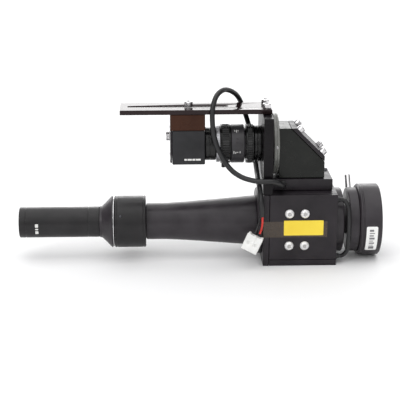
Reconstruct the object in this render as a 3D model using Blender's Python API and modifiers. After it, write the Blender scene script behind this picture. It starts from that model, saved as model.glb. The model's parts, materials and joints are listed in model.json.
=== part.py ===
"""Coaxial machine-vision camera module, modelled in Blender 4.5.

A cube camera hangs from a slotted arm and looks along the upper optical axis into a 45 degree mirror. The
mirror folds its view down into a beam-splitter block, whose lower optical axis runs through a tapered tube on
the left and a focusing barrel on the right. Sizes are in millimetres, scaled to metres as a shape is made.

Frame: +X right along both optical axes, +Y to the back, +Z up. The origin is under the centre of the block,
on the surface that it stands on.
"""

import math

import bmesh
import bpy
from mathutils import Matrix, Vector

MM = 0.001
GAP = 0.3  # between neighbouring pieces
RUNNING = 0.3  # radial clearance of a turning or sliding piece
OVER = 1.0  # how far a cutter passes through a face
SEGMENTS = 32

# Driving dimensions
BLOCK = 62.0
HALF = BLOCK / 2
LOW_AXIS = BLOCK / 2
UP_AXIS = LOW_AXIS + 68.0
PLATE_T = 5.0
COVER_T = 4.0
CUBE = 25.4
CAMERA = 29.0
ARM_T = 4.0
ARM_HALF_Y = 14.8
ARM_END = -149.5
ARM_Z = 127.3
MOUNT_LEFT = -31.4
MOUNT_RIGHT = -23.4
FLANGE_RIGHT = -17.7
BOX_LEFT = -17.4
BOX_RIGHT = 21.2
BOX_TOP = 115.0
BOX_HALF_Y = 15.0
ADAPTER_TOP = 72.0
SLOPE_BODY = 107.4  # X + Z on the mirror box's cut corner
SLOPE_COVER = 112.2  # X + Z on the outside of the mirror cover
SLOPE_MIRROR = UP_AXIS + 0.4  # X + Z on the mirror's face
CABLE_D = 4.3
WIRE_D = 1.8
JUMPER_D = 3.5

# Finish: colour, roughness, metallic
FINISHES = {
    "black_anodised": ((0.028, 0.026, 0.030), 0.42, 0.55),
    "brown_anodised": ((0.045, 0.026, 0.018), 0.45, 0.55),
    "grey_anodised": ((0.060, 0.055, 0.062), 0.40, 0.60),
    "chrome": ((0.80, 0.80, 0.82), 0.18, 1.0),
    "white_screw": ((0.78, 0.78, 0.78), 0.35, 0.30),
    "mirror": ((0.90, 0.90, 0.92), 0.03, 1.0),
    "glass": ((0.75, 0.85, 0.90), 0.05, 0.0),
    "board": ((0.02, 0.12, 0.05), 0.55, 0.0),
    "black_pvc": ((0.018, 0.018, 0.020), 0.50, 0.0),
    "red_pvc": ((0.60, 0.03, 0.02), 0.45, 0.0),
    "white_plastic": ((0.82, 0.81, 0.78), 0.45, 0.0),
}

for old in list(bpy.data.objects):
    bpy.data.objects.remove(old, do_unlink=True)

parts = bpy.data.collections.new("coaxial_camera_module")
cutters = bpy.data.collections.new("cutters")
bpy.context.scene.collection.children.link(parts)
bpy.context.scene.collection.children.link(cutters)


# Helpers


def material_for(name, finish):
    colour, roughness, metallic = FINISHES[finish]
    made = bpy.data.materials.new(name)
    made.use_nodes = True
    shader = made.node_tree.nodes["Principled BSDF"]
    shader.inputs["Base Color"].default_value = (*colour, 1.0)
    shader.inputs["Roughness"].default_value = roughness
    shader.inputs["Metallic"].default_value = metallic
    return made


def add_part(name, data, finish, place=None):
    made = bpy.data.objects.new(name, data)
    parts.objects.link(made)
    data.materials.append(material_for(name, finish))
    if place:
        made.matrix_world = place
    return made


def add_cutter(data, place=None):
    made = bpy.data.objects.new("cutter", data)
    cutters.objects.link(made)
    made.hide_render = True
    made.display_type = "WIRE"
    if place:
        made.matrix_world = place
    return made


def mesh_from(build, name="shape"):
    work = bmesh.new()
    build(work)
    mesh = bpy.data.meshes.new(name)
    work.to_mesh(mesh)
    work.free()
    return mesh


def box_mesh(low, high, name="box"):
    """A box between two corners, in millimetres, with its vertices in world place."""
    low, high = Vector(low) * MM, Vector(high) * MM
    size = Matrix.Diagonal((*(high - low), 1.0))

    def build(work):
        bmesh.ops.create_cube(work, size=1.0, matrix=Matrix.Translation((low + high) / 2) @ size)

    return mesh_from(build, name)


def rod_mesh(radius, length, sides=SEGMENTS, name="rod"):
    """A cylinder from the origin up its own Z axis, in millimetres."""

    def build(work):
        bmesh.ops.create_cone(
            work,
            cap_ends=True,
            segments=sides,
            radius1=radius * MM,
            radius2=radius * MM,
            depth=length * MM,
            matrix=Matrix.Translation((0, 0, length * MM / 2)),
        )

    return mesh_from(build, name)


def aim(start, direction):
    """The matrix that puts a shape's own Z axis along a direction, from a start in millimetres."""
    turn = Vector((0, 0, 1)).rotation_difference(Vector(direction)).to_matrix().to_4x4()
    return Matrix.Translation(Vector(start) * MM) @ turn


def round_off(made, width, segments=1):
    """Small rounded edges, in millimetres."""
    bevel = made.modifiers.new("rounded_edges", "BEVEL")
    bevel.width = width * MM
    bevel.segments = segments
    bevel.limit_method = "ANGLE"
    bevel.angle_limit = math.radians(40)
    return made


def cut(made, *tools, operation="DIFFERENCE"):
    for tool in tools:
        step = made.modifiers.new("cut", "BOOLEAN")
        step.operation = operation
        step.solver = "EXACT"
        step.object = tool
    return made


def box_part(name, low, high, finish, edge=0.0):
    made = add_part(name, box_mesh(low, high, name), finish)
    return round_off(made, edge) if edge else made


def box_cutter(low, high):
    return add_cutter(box_mesh(low, high))


def hole(start, direction, radius, length, sides=24):
    return add_cutter(rod_mesh(radius, length, sides), aim(start, direction))


def x_hole(x_low, x_high, z, radius, sides=SEGMENTS):
    return hole((x_low, 0, z), (1, 0, 0), radius, x_high - x_low, sides)


def turned(name, outer, inner, finish, place, sides=SEGMENTS):
    """A turned piece. Outer and inner run from its low end to its high end as (position, radius).

    Without an inner outline the piece is solid.
    """
    down_the_outside = [(radius * MM, 0.0, along * MM) for along, radius in reversed(outer)]
    if inner:
        points = down_the_outside + [(radius * MM, 0.0, along * MM) for along, radius in inner]
        edges = [(i, (i + 1) % len(points)) for i in range(len(points))]
    else:
        points = [(0.0, 0.0, outer[-1][0] * MM), *down_the_outside, (0.0, 0.0, outer[0][0] * MM)]
        edges = [(i, i + 1) for i in range(len(points) - 1)]
    mesh = bpy.data.meshes.new(name)
    mesh.from_pydata(points, edges, [])
    made = add_part(name, mesh, finish, place)
    screw = made.modifiers.new("turned", "SCREW")
    screw.steps = sides
    screw.render_steps = sides
    screw.use_merge_vertices = True
    screw.merge_threshold = 0.00001
    screw.use_smooth_shade = True
    return made


def x_turned(name, outer, inner, finish, z, sides=SEGMENTS):
    """A turned piece on an optical axis: its origin is on the axis, and positions are its world X."""
    start = outer[0][0]
    shift = [(x - start, radius) for x, radius in outer]
    bore = [(x - start, radius) for x, radius in inner] if inner else None
    return turned(name, shift, bore, finish, aim((start, 0, z), (1, 0, 0)), sides)


def prism(name, outline, half_y, finish):
    """A flat outline in X and Z, in millimetres, made thick along Y about the optical plane."""
    curve = bpy.data.curves.new(name, "CURVE")
    curve.dimensions = "2D"
    curve.fill_mode = "BOTH"
    curve.extrude = half_y * MM
    spline = curve.splines.new("POLY")
    spline.points.add(len(outline) - 1)
    for point, (x, z) in zip(spline.points, outline, strict=True):
        point.co = (x * MM, z * MM, 0.0, 1.0)
    spline.use_cyclic_u = True
    guide = bpy.data.objects.new("outline", curve)
    cutters.objects.link(guide)
    guide.rotation_euler = (math.pi / 2, 0.0, 0.0)
    bpy.context.view_layer.update()
    depsgraph = bpy.context.evaluated_depsgraph_get()
    mesh = bpy.data.meshes.new_from_object(guide.evaluated_get(depsgraph))
    work = bmesh.new()
    work.from_mesh(mesh)
    bmesh.ops.remove_doubles(work, verts=work.verts, dist=0.00001)
    bmesh.ops.recalc_face_normals(work, faces=work.faces)
    work.to_mesh(mesh)
    work.free()
    mesh.materials.clear()
    made = add_part(name, mesh, finish, guide.matrix_world.copy())
    bpy.data.objects.remove(guide, do_unlink=True)
    return made


def screw_part(name, seat, direction, head_radius, head_height, shank_radius, shank_length, finish, rounded):
    """A hex-socket screw whose head stands on a seat and whose shank runs back into the hole."""
    shoulder = 0.75 * head_radius if rounded else 0.93 * head_radius
    edge_start = 0.45 * head_height if rounded else 0.88 * head_height
    outline = [
        (-shank_length, shank_radius),
        (0.0, shank_radius),
        (0.0, head_radius),
        (edge_start, head_radius),
        (head_height, shoulder),
    ]
    made = turned(name, outline, None, finish, aim(seat, direction), 12)
    socket_depth = 0.55 * head_height
    start = Vector(seat) + Vector(direction).normalized() * (head_height - socket_depth)
    return cut(made, hole(start, direction, 0.42 * head_radius, socket_depth + OVER, 6))


def smooth_route(points, spacing):
    """Even points along a smooth curve through a route's own points (centripetal Catmull-Rom)."""
    route = [Vector(p) for p in points]
    route = [2 * route[0] - route[1], *route, 2 * route[-1] - route[-2]]
    dense = []
    for a, b, c, d in zip(route, route[1:], route[2:], route[3:]):
        t1 = (b - a).length ** 0.5
        t2 = t1 + (c - b).length ** 0.5
        t3 = t2 + (d - c).length ** 0.5
        for step in range(24):
            t = t1 + (t2 - t1) * step / 24
            ab = a.lerp(b, t / t1)
            bc = b.lerp(c, (t - t1) / (t2 - t1))
            cd = c.lerp(d, (t - t2) / (t3 - t2))
            abc = ab.lerp(bc, t / t2)
            bcd = bc.lerp(cd, (t - t1) / (t3 - t1))
            dense.append(abc.lerp(bcd, (t - t1) / (t2 - t1)))
    dense.append(route[-2])
    lengths = [0.0]
    for a, b in zip(dense, dense[1:]):
        lengths.append(lengths[-1] + (b - a).length)
    count = max(2, round(lengths[-1] / spacing))
    even = []
    k = 0
    for i in range(count + 1):
        target = lengths[-1] * i / count
        while k < len(lengths) - 2 and lengths[k + 1] < target:
            k += 1
        share = (target - lengths[k]) / (lengths[k + 1] - lengths[k])
        even.append(dense[k].lerp(dense[k + 1], share))
    near_end = 6  # a short first and last run keep the caps square to the route
    return [even[0], dense[near_end], *even[1:-1], dense[-1 - near_end], even[-1]]


def cord(name, points, diameter, finish):
    """A round cord through a route in millimetres, as a curve with filled caps."""
    curve = bpy.data.curves.new(name, "CURVE")
    curve.dimensions = "3D"
    curve.bevel_depth = diameter / 2 * MM
    curve.bevel_resolution = 2
    curve.use_fill_caps = True
    route = smooth_route(points, 2.2 * diameter)
    spline = curve.splines.new("POLY")
    spline.points.add(len(route) - 1)
    for point, place in zip(spline.points, route, strict=True):
        point.co = (*(place * MM), 1.0)
    return add_part(name, curve, finish)


# Beam-splitter block


def beam_block():
    split_x = -HALF + PLATE_T
    cover_back = -HALF + COVER_T
    side = box_part("left_side_plate", (-HALF, -HALF, 0), (split_x, HALF, BLOCK), "black_anodised", 0.5)
    cut(side, x_hole(-HALF - OVER, split_x + OVER, LOW_AXIS, 13.0))
    box_part("base_plate", (split_x + GAP, -HALF, 0), (HALF, HALF, PLATE_T), "black_anodised", 0.5)

    body = box_part(
        "block_body",
        (split_x + GAP, cover_back + GAP, PLATE_T + GAP),
        (HALF, HALF, BLOCK),
        "black_anodised",
        0.5,
    )
    wall = 5.0
    room = box_cutter((-HALF, -HALF, PLATE_T + wall), (HALF - wall, HALF - wall, BLOCK - wall))
    cut(body, room, x_hole(HALF - 2 * wall, HALF + OVER, LOW_AXIS, 12.0))
    cut(body, hole((0, 0, BLOCK - 2 * wall), (0, 0, 1), 11.0, 2 * wall + OVER, SEGMENTS))

    cover = box_part(
        "front_cover",
        (split_x + GAP, -HALF, PLATE_T + GAP),
        (HALF, cover_back, BLOCK),
        "black_anodised",
        0.5,
    )
    cradle_front = cover_back + GAP
    cradle_back = -CUBE / 2 - 3.0
    cradle = box_part("splitter_cradle", (-14, cradle_front, 13), (9, cradle_back, 51), "black_anodised")
    shelf = box_cutter((-12, cradle_back - 2, 13), (8, CUBE / 2, LOW_AXIS - CUBE / 2 - GAP))
    cut(cradle, shelf, operation="UNION")
    box_part(
        "beam_splitter",
        (-CUBE / 2, -CUBE / 2, LOW_AXIS - CUBE / 2),
        (CUBE / 2, CUBE / 2, LOW_AXIS + CUBE / 2),
        "glass",
        0.4,
    )
    spots = [(x, z) for z in (46.0, 18.0) for x in (-9.2, 3.8)]
    for number, (x, z) in enumerate(spots, 1):
        bore = hole((x, -HALF - OVER, z), (0, 1, 0), 2.3, COVER_T + 5.0 + OVER, 16)
        cut(cover, bore)
        cut(cradle, bore)
        seat = (x, -HALF - GAP, z)
        screw_part(f"cover_screw_{number}", seat, (0, -1, 0), 3.8, 2.3, 2.0, 7.5, "white_screw", True)


# Tapered tube on the left


def tapered_tube():
    flange_right = -HALF - GAP
    flange_left = -35.0
    tube_end = flange_left - GAP
    x_turned(
        "tube_flange",
        [(flange_left, 27.6), (flange_left + 0.9, 28.5), (flange_right, 28.5)],
        [(flange_left, 14.0), (flange_right, 14.0)],
        "grey_anodised",
        LOW_AXIS,
    )
    sleeve_left = -150.0
    x_turned(
        "main_tube",
        [
            (sleeve_left, 14.5),
            (-128.4, 14.5),
            (-128.4, 15.5),
            (-111.0, 15.6),
            (-78.4, 17.8),
            (-48.0, 20.3),
            (-37.0, 21.2),
            (tube_end, 21.2),
        ],
        [(sleeve_left, 12.0), (-60.0, 12.0), (-60.0, 13.0), (tube_end, 13.0)],
        "grey_anodised",
        LOW_AXIS,
    )
    x_turned("collimator_lens", [(-47.0, 12.7), (-44.0, 12.7), (-42.2, 9.0)], None, "glass", LOW_AXIS, 32)
    x_turned(
        "focus_collar",
        [(-155.7, 21.3), (-155.0, 22.0), (-129.8, 22.0), (-129.1, 21.3)],
        [(-155.7, 14.5 + RUNNING), (-129.1, 14.5 + RUNNING)],
        "black_anodised",
        LOW_AXIS,
    )
    cone_left = -168.5
    cone_right = -157.2
    sleeve = 12.0 - RUNNING
    x_turned(
        "lock_ring",
        [(-156.9, 21.2), (-156.1, 21.2)],
        [(-156.9, 12.0), (-156.1, 12.0)],
        "chrome",
        LOW_AXIS,
    )
    x_turned(
        "cone_adapter",
        [
            (cone_left, 13.2),
            (cone_left + 2.0, 13.6),
            (cone_right - 1.2, 21.9),
            (cone_right, 21.9),
            (cone_right, sleeve),
            (-138.0, sleeve),
        ],
        [(cone_left, 9.0), (-138.0, 9.0)],
        "grey_anodised",
        LOW_AXIS,
    )
    barrel_left = -236.7
    barrel_right = cone_left - GAP
    x_turned(
        "front_barrel",
        [(barrel_left, 12.4), (barrel_left + 0.6, 13.0), (barrel_right, 13.0)],
        [(barrel_left, 11.3), (-228.5, 11.3), (-228.5, 10.0), (barrel_right, 10.0)],
        "black_anodised",
        LOW_AXIS,
    )
    x_turned("front_lens", [(-233.8, 9.5), (-231.8, 11.0), (-228.8, 11.0)], None, "glass", LOW_AXIS, 32)


# Barrel on the right


def focusing_barrel():
    neck_right = 51.0
    sleeve_right = 60.0
    neck = x_turned(
        "rear_neck",
        [
            (HALF + GAP, 27.4),
            (37.2, 27.4),
            (38.0, 26.6),
            (38.0, 12.5),
            (43.0, 12.5),
            (43.0, 26.8),
            (43.6, 27.4),
            (neck_right, 27.4),
            (neck_right, 20.0),
            (sleeve_right, 20.0),
        ],
        [(HALF + GAP, 10.0), (50.0, 10.0), (sleeve_right, 17.0)],
        "grey_anodised",
        LOW_AXIS,
    )
    barrel_left = neck_right + GAP
    barrel_right = 69.8
    x_turned(
        "rear_barrel",
        [
            (barrel_left, 29.3),
            (barrel_left + 1.2, 30.5),
            (53.6, 30.5),
            (54.0, 30.0),
            (54.8, 30.0),
            (55.2, 30.5),
            (barrel_right - 0.8, 30.5),
            (barrel_right, 29.7),
        ],
        [
            (barrel_left, 20.0 + RUNNING),
            (60.5, 20.0 + RUNNING),
            (61.5, 22.0),
            (barrel_right, 22.0),
        ],
        "grey_anodised",
        LOW_AXIS,
    )
    x_turned("objective_lens", [(61.8, 21.7), (65.0, 21.7), (67.0, 16.0)], None, "glass", LOW_AXIS, 40)

    lean = math.radians(38)
    outward = Vector((0.0, math.sin(lean), math.cos(lean)))
    axis_point = Vector((46.8, 0.0, LOW_AXIS))
    cut(neck, hole(axis_point + outward * 21.0, outward, 2.8, 9.0, 20))
    turned(
        "barrel_lock_screw",
        [(0.0, 2.5), (19.0, 2.5), (20.2, 1.9), (20.8, 0.8)],
        None,
        "chrome",
        aim(axis_point + outward * 21.4, outward),
        20,
    )


# Fold mirror, its adapter and the upright


def slope_point(along, outside, y=0.0):
    """A point on a 45 degree plane X + Z = outside, so far down the slope from the axes' meeting point."""
    rise = (outside - UP_AXIS) / 2
    down_slope = Vector((1.0, 0.0, -1.0)).normalized()
    return Vector((rise, y, UP_AXIS + rise)) + down_slope * along


def slope_box(along, half_y, outside, inside):
    """A box between two 45 degree planes, from and to so far down the slope."""
    normal = Vector((1.0, 0.0, 1.0)).normalized()
    depth = (outside - inside) / math.sqrt(2)
    middle = slope_point(sum(along) / 2, inside) + normal * depth / 2
    half_length = (along[1] - along[0]) / 2
    mesh = box_mesh((-half_length, -half_y, -depth / 2), (half_length, half_y, depth / 2))
    return mesh, Matrix.Translation(middle * MM) @ Matrix.Rotation(math.radians(45), 4, "Y")


def fold_mirror():
    adapter = box_part(
        "adapter_plate",
        (MOUNT_RIGHT + GAP, -18.0, BLOCK + GAP),
        (28.0, 18.0, ADAPTER_TOP),
        "black_anodised",
        0.8,
    )
    cut(adapter, hole((0, 0, BLOCK - OVER), (0, 0, 1), 11.0, ADAPTER_TOP - BLOCK + 2 * OVER, SEGMENTS))

    box_low = ADAPTER_TOP + GAP
    body = prism(
        "mirror_box",
        [
            (BOX_LEFT, box_low),
            (BOX_RIGHT, box_low),
            (BOX_RIGHT, SLOPE_BODY - BOX_RIGHT),
            (SLOPE_BODY - BOX_TOP, BOX_TOP),
            (BOX_LEFT, BOX_TOP),
        ],
        BOX_HALF_Y,
        "black_anodised",
    )
    beam = 7.5
    cut(body, x_hole(BOX_LEFT - OVER, 2.0, UP_AXIS, beam, 32))
    cut(body, hole((0, 0, box_low - OVER), (0, 0, 1), beam, UP_AXIS - box_low + 2.0, 32))
    pocket = 10.8
    pocket_half_y = 8.8
    cut(body, add_cutter(*slope_box((-pocket, pocket), pocket_half_y, SLOPE_BODY + 3.0, SLOPE_MIRROR)))
    mirror_length = (-pocket + GAP, pocket - GAP)
    mesh, place = slope_box(mirror_length, pocket_half_y - GAP, SLOPE_BODY - 0.2, SLOPE_MIRROR + 0.5)
    add_part("mirror", mesh, "mirror", place)

    under = SLOPE_BODY + 0.45
    cover = prism(
        "mirror_cover",
        [
            (BOX_RIGHT, under - BOX_RIGHT),
            (BOX_RIGHT, SLOPE_COVER - BOX_RIGHT),
            (SLOPE_COVER - BOX_TOP, BOX_TOP),
            (under - BOX_TOP, BOX_TOP),
        ],
        BOX_HALF_Y,
        "black_anodised",
    )
    outward = Vector((1.0, 0.0, 1.0))
    middle = (BOX_RIGHT - BOX_TOP + UP_AXIS) / math.sqrt(2)  # of the cover's outer slope
    spots = [(middle + along, y) for along in (-13.4, 13.4) for y in (-11.4, 11.4)]
    for number, (along, y) in enumerate(spots, 1):
        start = slope_point(along, SLOPE_COVER - 2 * 8.4, y)
        bore = hole(start, outward, 2.0, 14.0, 16)
        cut(body, bore)
        cut(cover, bore)
        seat = slope_point(along, SLOPE_COVER + 0.45, y)
        screw_part(f"mirror_screw_{number}", seat, outward, 3.3, 3.6, 1.7, 9.0, "chrome", False)

    disc_left = MOUNT_RIGHT + 1.0
    x_turned(
        "rotation_flange",
        [
            (MOUNT_RIGHT + GAP, 16.0),
            (disc_left, 16.0),
            (disc_left, 25.2),
            (disc_left + 0.6, 25.8),
            (FLANGE_RIGHT - 0.6, 25.8),
            (FLANGE_RIGHT, 25.2),
        ],
        [(MOUNT_RIGHT + GAP, 12.0), (FLANGE_RIGHT, 12.0)],
        "black_anodised",
        UP_AXIS,
    )


def upright_and_arm():
    upright = box_part(
        "mount_plate",
        (MOUNT_LEFT, -HALF, BLOCK + GAP),
        (MOUNT_RIGHT, HALF, ARM_Z - GAP),
        "black_anodised",
        0.8,
    )
    cut(upright, x_hole(MOUNT_LEFT - OVER, MOUNT_RIGHT + OVER, UP_AXIS, 13.0))
    middle = (MOUNT_LEFT + MOUNT_RIGHT) / 2
    for z in (114.3, 86.7):
        cut(upright, hole((middle, -HALF - OVER, z), (0, 1, 0), 1.6, 9.0, 16))

    arm = box_part(
        "top_plate",
        (ARM_END, -ARM_HALF_Y, ARM_Z),
        (MOUNT_RIGHT, ARM_HALF_Y, ARM_Z + ARM_T),
        "black_anodised",
        0.4,
    )
    slot_half = 2.5
    slot_left = -145.7
    slot_right = -59.0
    ends = (slot_left + slot_half, slot_right - slot_half)
    middle_cut = box_cutter((ends[0], -slot_half, ARM_Z - OVER), (ends[1], slot_half, ARM_Z + ARM_T + OVER))
    slot = [middle_cut]
    slot += [hole((x, 0, ARM_Z - OVER), (0, 0, 1), slot_half, ARM_T + 2 * OVER, 20) for x in ends]
    cut(arm, *slot)
    for number, y in enumerate((-8.5, 8.5), 1):
        bore = hole((middle, y, ARM_Z - 9.0), (0, 0, 1), 2.3, 9.0 + ARM_T + OVER, 16)
        cut(arm, bore)
        cut(upright, bore)
        seat = (middle, y, ARM_Z + ARM_T + GAP)
        screw_part(f"arm_screw_{number}", seat, (0, 0, 1), 3.5, 3.6, 2.0, 11.5, "chrome", False)


# Camera and its lens


def camera():
    right = -79.0
    left = right - CAMERA
    half = CAMERA / 2
    bracket = box_part(
        "camera_bracket",
        (left, -half, UP_AXIS + half + GAP),
        (right, half, ARM_Z - GAP),
        "brown_anodised",
        0.5,
    )
    clamp_x = -92.4
    cut(bracket, hole((clamp_x, 0, ARM_Z - 9.0), (0, 0, 1), 2.3, 10.0, 16))
    seat = (clamp_x, 0, ARM_Z + ARM_T + GAP)
    screw_part("clamp_screw", seat, (0, 0, 1), 3.5, 4.0, 2.0, 11.0, "chrome", False)

    body_left = left + 1.6
    body = box_part(
        "camera_body",
        (body_left, -half, UP_AXIS - half),
        (right, half, UP_AXIS + half),
        "grey_anodised",
        0.8,
    )
    wall = 2.0
    inner = half - wall
    room = box_cutter((body_left - OVER, -inner, UP_AXIS - inner), (right - wall, inner, UP_AXIS + inner))
    cut(body, room, x_hole(right - 2 * wall, right + OVER, UP_AXIS, 11.0))
    box_part(
        "camera_rear_cover",
        (left, -half + 0.5, UP_AXIS - half + 1.5),
        (body_left - GAP, half - 0.5, UP_AXIS + half - 0.5),
        "black_anodised",
        0.3,
    )
    connector_z = UP_AXIS + 7.0
    x_turned(
        "camera_connector",
        [(left - 3.4, 3.6), (left - 3.0, 4.0), (left - GAP, 4.0)],
        [(left - 3.4, 3.0), (left - 1.2, 3.0), (left - 1.2, 1.2), (left - GAP, 1.2)],
        "chrome",
        connector_z,
        24,
    )
    box_part(
        "sensor_board",
        (right - 8.0, -inner + GAP, UP_AXIS - inner + GAP),
        (right - 6.4, inner - GAP, UP_AXIS + inner - GAP),
        "board",
    )


def lens():
    core = 12.9
    bore = core + RUNNING
    x_turned(
        "camera_mount_ring",
        [(-78.7, 13.4), (-78.1, 14.0), (-70.4, 14.0), (-69.8, 13.4)],
        [(-78.7, 12.4), (-69.8, 12.4)],
        "black_anodised",
        UP_AXIS,
    )
    x_turned(
        "lens_lock_ring",
        [(-69.5, 15.1), (-69.1, 15.5), (-66.6, 15.5), (-66.2, 15.1)],
        [(-69.5, 12.4), (-66.2, 12.4)],
        "chrome",
        UP_AXIS,
    )
    x_turned(
        "lens_core",
        [(-76.0, 12.1), (-66.0, 12.1), (-66.0, core), (-33.5, core)],
        [(-76.0, 10.0), (-33.5, 10.0)],
        "black_anodised",
        UP_AXIS,
    )
    rings = (
        ("aperture_ring", -65.9, -57.4, 16.5),
        ("lens_sleeve", -57.1, -46.0, 16.2),
        ("focus_ring", -44.7, -38.0, 16.5),
        ("lens_front_ring", -37.7, MOUNT_LEFT - GAP, 15.3),
    )
    made = {}
    for name, left, right, radius in rings:
        outline = [(left, radius - 0.5), (left + 0.5, radius), (right - 0.5, radius), (right, radius - 0.5)]
        made[name] = x_turned(name, outline, [(left, bore), (right, bore)], "black_anodised", UP_AXIS)
    finger_x = -63.0
    bottom = UP_AXIS - 16.5
    cut(made["aperture_ring"], hole((finger_x, 0, bottom + 2.2), (0, 0, -1), 1.6, 4.0, 16))
    turned(
        "aperture_thumb_screw",
        [(0.0, 1.3), (2.2, 1.3), (2.2, 1.7), (5.6, 1.7), (6.0, 1.3)],
        None,
        "black_anodised",
        aim((finger_x, 0, bottom + 1.8), (0, 0, -1)),
        16,
    )
    x_turned(
        "focus_cell",
        [(-54.0, 10.0 - RUNNING), (-38.0, 10.0 - RUNNING)],
        [(-54.0, 7.0), (-43.5, 7.0), (-43.5, 8.6), (-38.0, 8.6)],
        "black_anodised",
        UP_AXIS,
        40,
    )
    x_turned("cell_lens", [(-43.2, 8.3), (-41.0, 8.3), (-39.6, 5.5)], None, "glass", UP_AXIS, 32)


# Leads

CABLE_EXIT = (-14.2, -22.2, 68.2)
CABLE_ROUTE = [
    CABLE_EXIT,
    (-14.2, -25.6, 68.4),
    (-15.4, -29.0, 69.8),
    (-18.4, -32.4, 72.6),
    (-25.6, -35.0, 75.2),
    (-32.9, -35.2, 75.2),
    (-42.6, -32.0, 75.9),
    (-50.7, -29.0, 78.3),
    (-58.8, -26.0, 84.0),
    (-67.9, -23.0, 98.5),
    (-72.4, -21.5, 113.5),
    (-73.4, -20.5, 130.1),
    (-72.3, -18.5, 137.2),
    (-69.7, -14.5, 143.0),
    (-65.7, -9.0, 145.8),
    (-61.2, -2.0, 145.6),
    (-55.7, 5.5, 142.4),
    (-51.0, 12.5, 137.4),
    (-47.0, 18.9, 129.6),
    (-42.6, 21.5, 117.6),
    (-38.9, 21.4, 105.0),
    (-36.0, 20.2, 92.0),
    (-34.8, 14.0, 80.4),
    (-34.4, 0.0, 73.6),
    (-34.4, -16.0, 70.0),
    (-34.0, -28.0, 66.0),
    (-33.4, -34.6, 58.4),
    (-32.6, -35.4, 51.0),
    (-32.4, -35.4, 45.3),
]
WIRE_ROUTES = {
    "wire_red": [(-32.2, -36.2, 45.0), (-32.2, -36.4, 39.8), (-33.0, -36.8, 34.6), (-34.4, -37.2, 30.7)],
    "wire_black": [(-33.6, -34.4, 45.0), (-35.0, -34.6, 39.8), (-36.7, -36.0, 34.6), (-38.0, -37.2, 31.9)],
}
JUMPER_X = HALF + 3.2
JUMPER_ROUTE = [
    (JUMPER_X + GAP, -24.6, 56.0),
    (36.6, -24.8, 55.8),
    (40.2, -27.0, 51.0),
    (41.0, -28.4, 44.0),
    (41.2, -29.2, 31.0),
    (41.0, -28.4, 18.0),
    (40.2, -27.0, 11.0),
    (36.6, -24.8, 6.4),
    (JUMPER_X + GAP, -24.6, 6.2),
]


def leads():
    gland_start = (CABLE_EXIT[0], -18.0 - GAP, CABLE_EXIT[2])
    turned(
        "cable_gland",
        [(0.0, 3.2), (1.4, 3.2), (3.5, 2.5)],
        None,
        "black_pvc",
        aim(gland_start, (0, -1, 0)),
        24,
    )
    cord("cable", CABLE_ROUTE, CABLE_D, "black_pvc")
    for name, route in WIRE_ROUTES.items():
        end = Vector(route[0])
        below = [(end.x, end.y, end.z - GAP), *route[1:]]
        cord(name, below, WIRE_D, "red_pvc" if name == "wire_red" else "black_pvc")
    for name, z in (("jumper_gland_top", JUMPER_ROUTE[0][2]), ("jumper_gland_bottom", JUMPER_ROUTE[-1][2])):
        place = aim((HALF + GAP, JUMPER_ROUTE[0][1], z), (1, 0, 0))
        turned(name, [(0.0, 2.6), (1.2, 2.6), (JUMPER_X - HALF - GAP, 2.1)], None, "black_pvc", place, 20)
    cord("jumper_cable", JUMPER_ROUTE, JUMPER_D, "black_pvc")

    long_half, wide_half, thick_half = 7.6, 7.0, 3.6
    mesh = box_mesh(
        (-wide_half, -thick_half, -long_half),
        (wide_half, thick_half, long_half),
        "connector",
    )
    tilt = Matrix.Rotation(math.radians(24), 4, "Y") @ Matrix.Rotation(math.radians(-16), 4, "Z")
    place = Matrix.Translation(Vector((-40.4, -37.6, 22.9)) * MM) @ tilt
    round_off(add_part("connector", mesh, "white_plastic", place), 0.6)


beam_block()
tapered_tube()
focusing_barrel()
fold_mirror()
upright_and_arm()
camera()
lens()
leads()
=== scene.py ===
import json
import math

import bmesh
import bpy
from mathutils import Matrix, Vector


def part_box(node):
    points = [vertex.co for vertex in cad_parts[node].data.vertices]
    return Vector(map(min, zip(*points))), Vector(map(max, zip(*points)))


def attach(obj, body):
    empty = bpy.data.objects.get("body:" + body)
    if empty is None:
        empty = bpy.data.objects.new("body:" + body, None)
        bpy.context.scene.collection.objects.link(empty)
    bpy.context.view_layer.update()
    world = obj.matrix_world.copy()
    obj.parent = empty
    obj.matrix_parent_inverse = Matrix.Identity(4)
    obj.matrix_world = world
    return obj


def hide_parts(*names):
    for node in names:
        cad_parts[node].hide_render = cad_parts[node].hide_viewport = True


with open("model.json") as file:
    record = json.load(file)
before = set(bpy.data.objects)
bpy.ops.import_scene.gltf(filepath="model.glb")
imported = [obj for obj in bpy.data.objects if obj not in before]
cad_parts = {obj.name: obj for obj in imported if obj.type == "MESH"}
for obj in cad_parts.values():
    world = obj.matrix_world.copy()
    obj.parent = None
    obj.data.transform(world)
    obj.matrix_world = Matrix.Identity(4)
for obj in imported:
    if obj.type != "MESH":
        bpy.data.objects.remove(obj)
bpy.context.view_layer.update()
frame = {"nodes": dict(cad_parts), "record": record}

# The coaxial camera module's looks. Places and sizes come from the frame's nodes, lengths here are in metres.

MM = 0.001
RECORD = frame["record"]
BODY_OF = {node: body for body, nodes in RECORD["behaviour"]["bodies"].items() for node in nodes}
SLOT_OF = {part["node"]: part["material_slot"] for part in RECORD["subparts"]}
ROUND = 128  # sides of a turned piece
scene = bpy.context.scene


# Camera


def make_camera():
    data = bpy.data.cameras.new("photo_camera")
    data.lens = 111.5
    data.sensor_width = 36.0
    data.clip_end = 20.0
    made = bpy.data.objects.new("photo_camera", data)
    scene.collection.objects.link(made)
    place = Vector((-118.6, -1012.3, 357.0)) * MM
    target = Vector((-82.8, 0.0, 49.4)) * MM
    made.location = place
    made.rotation_euler = (target - place).to_track_quat("-Z", "Y").to_euler()
    scene.camera = made


make_camera()


# Pieces that ride as their CAD nodes do


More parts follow.
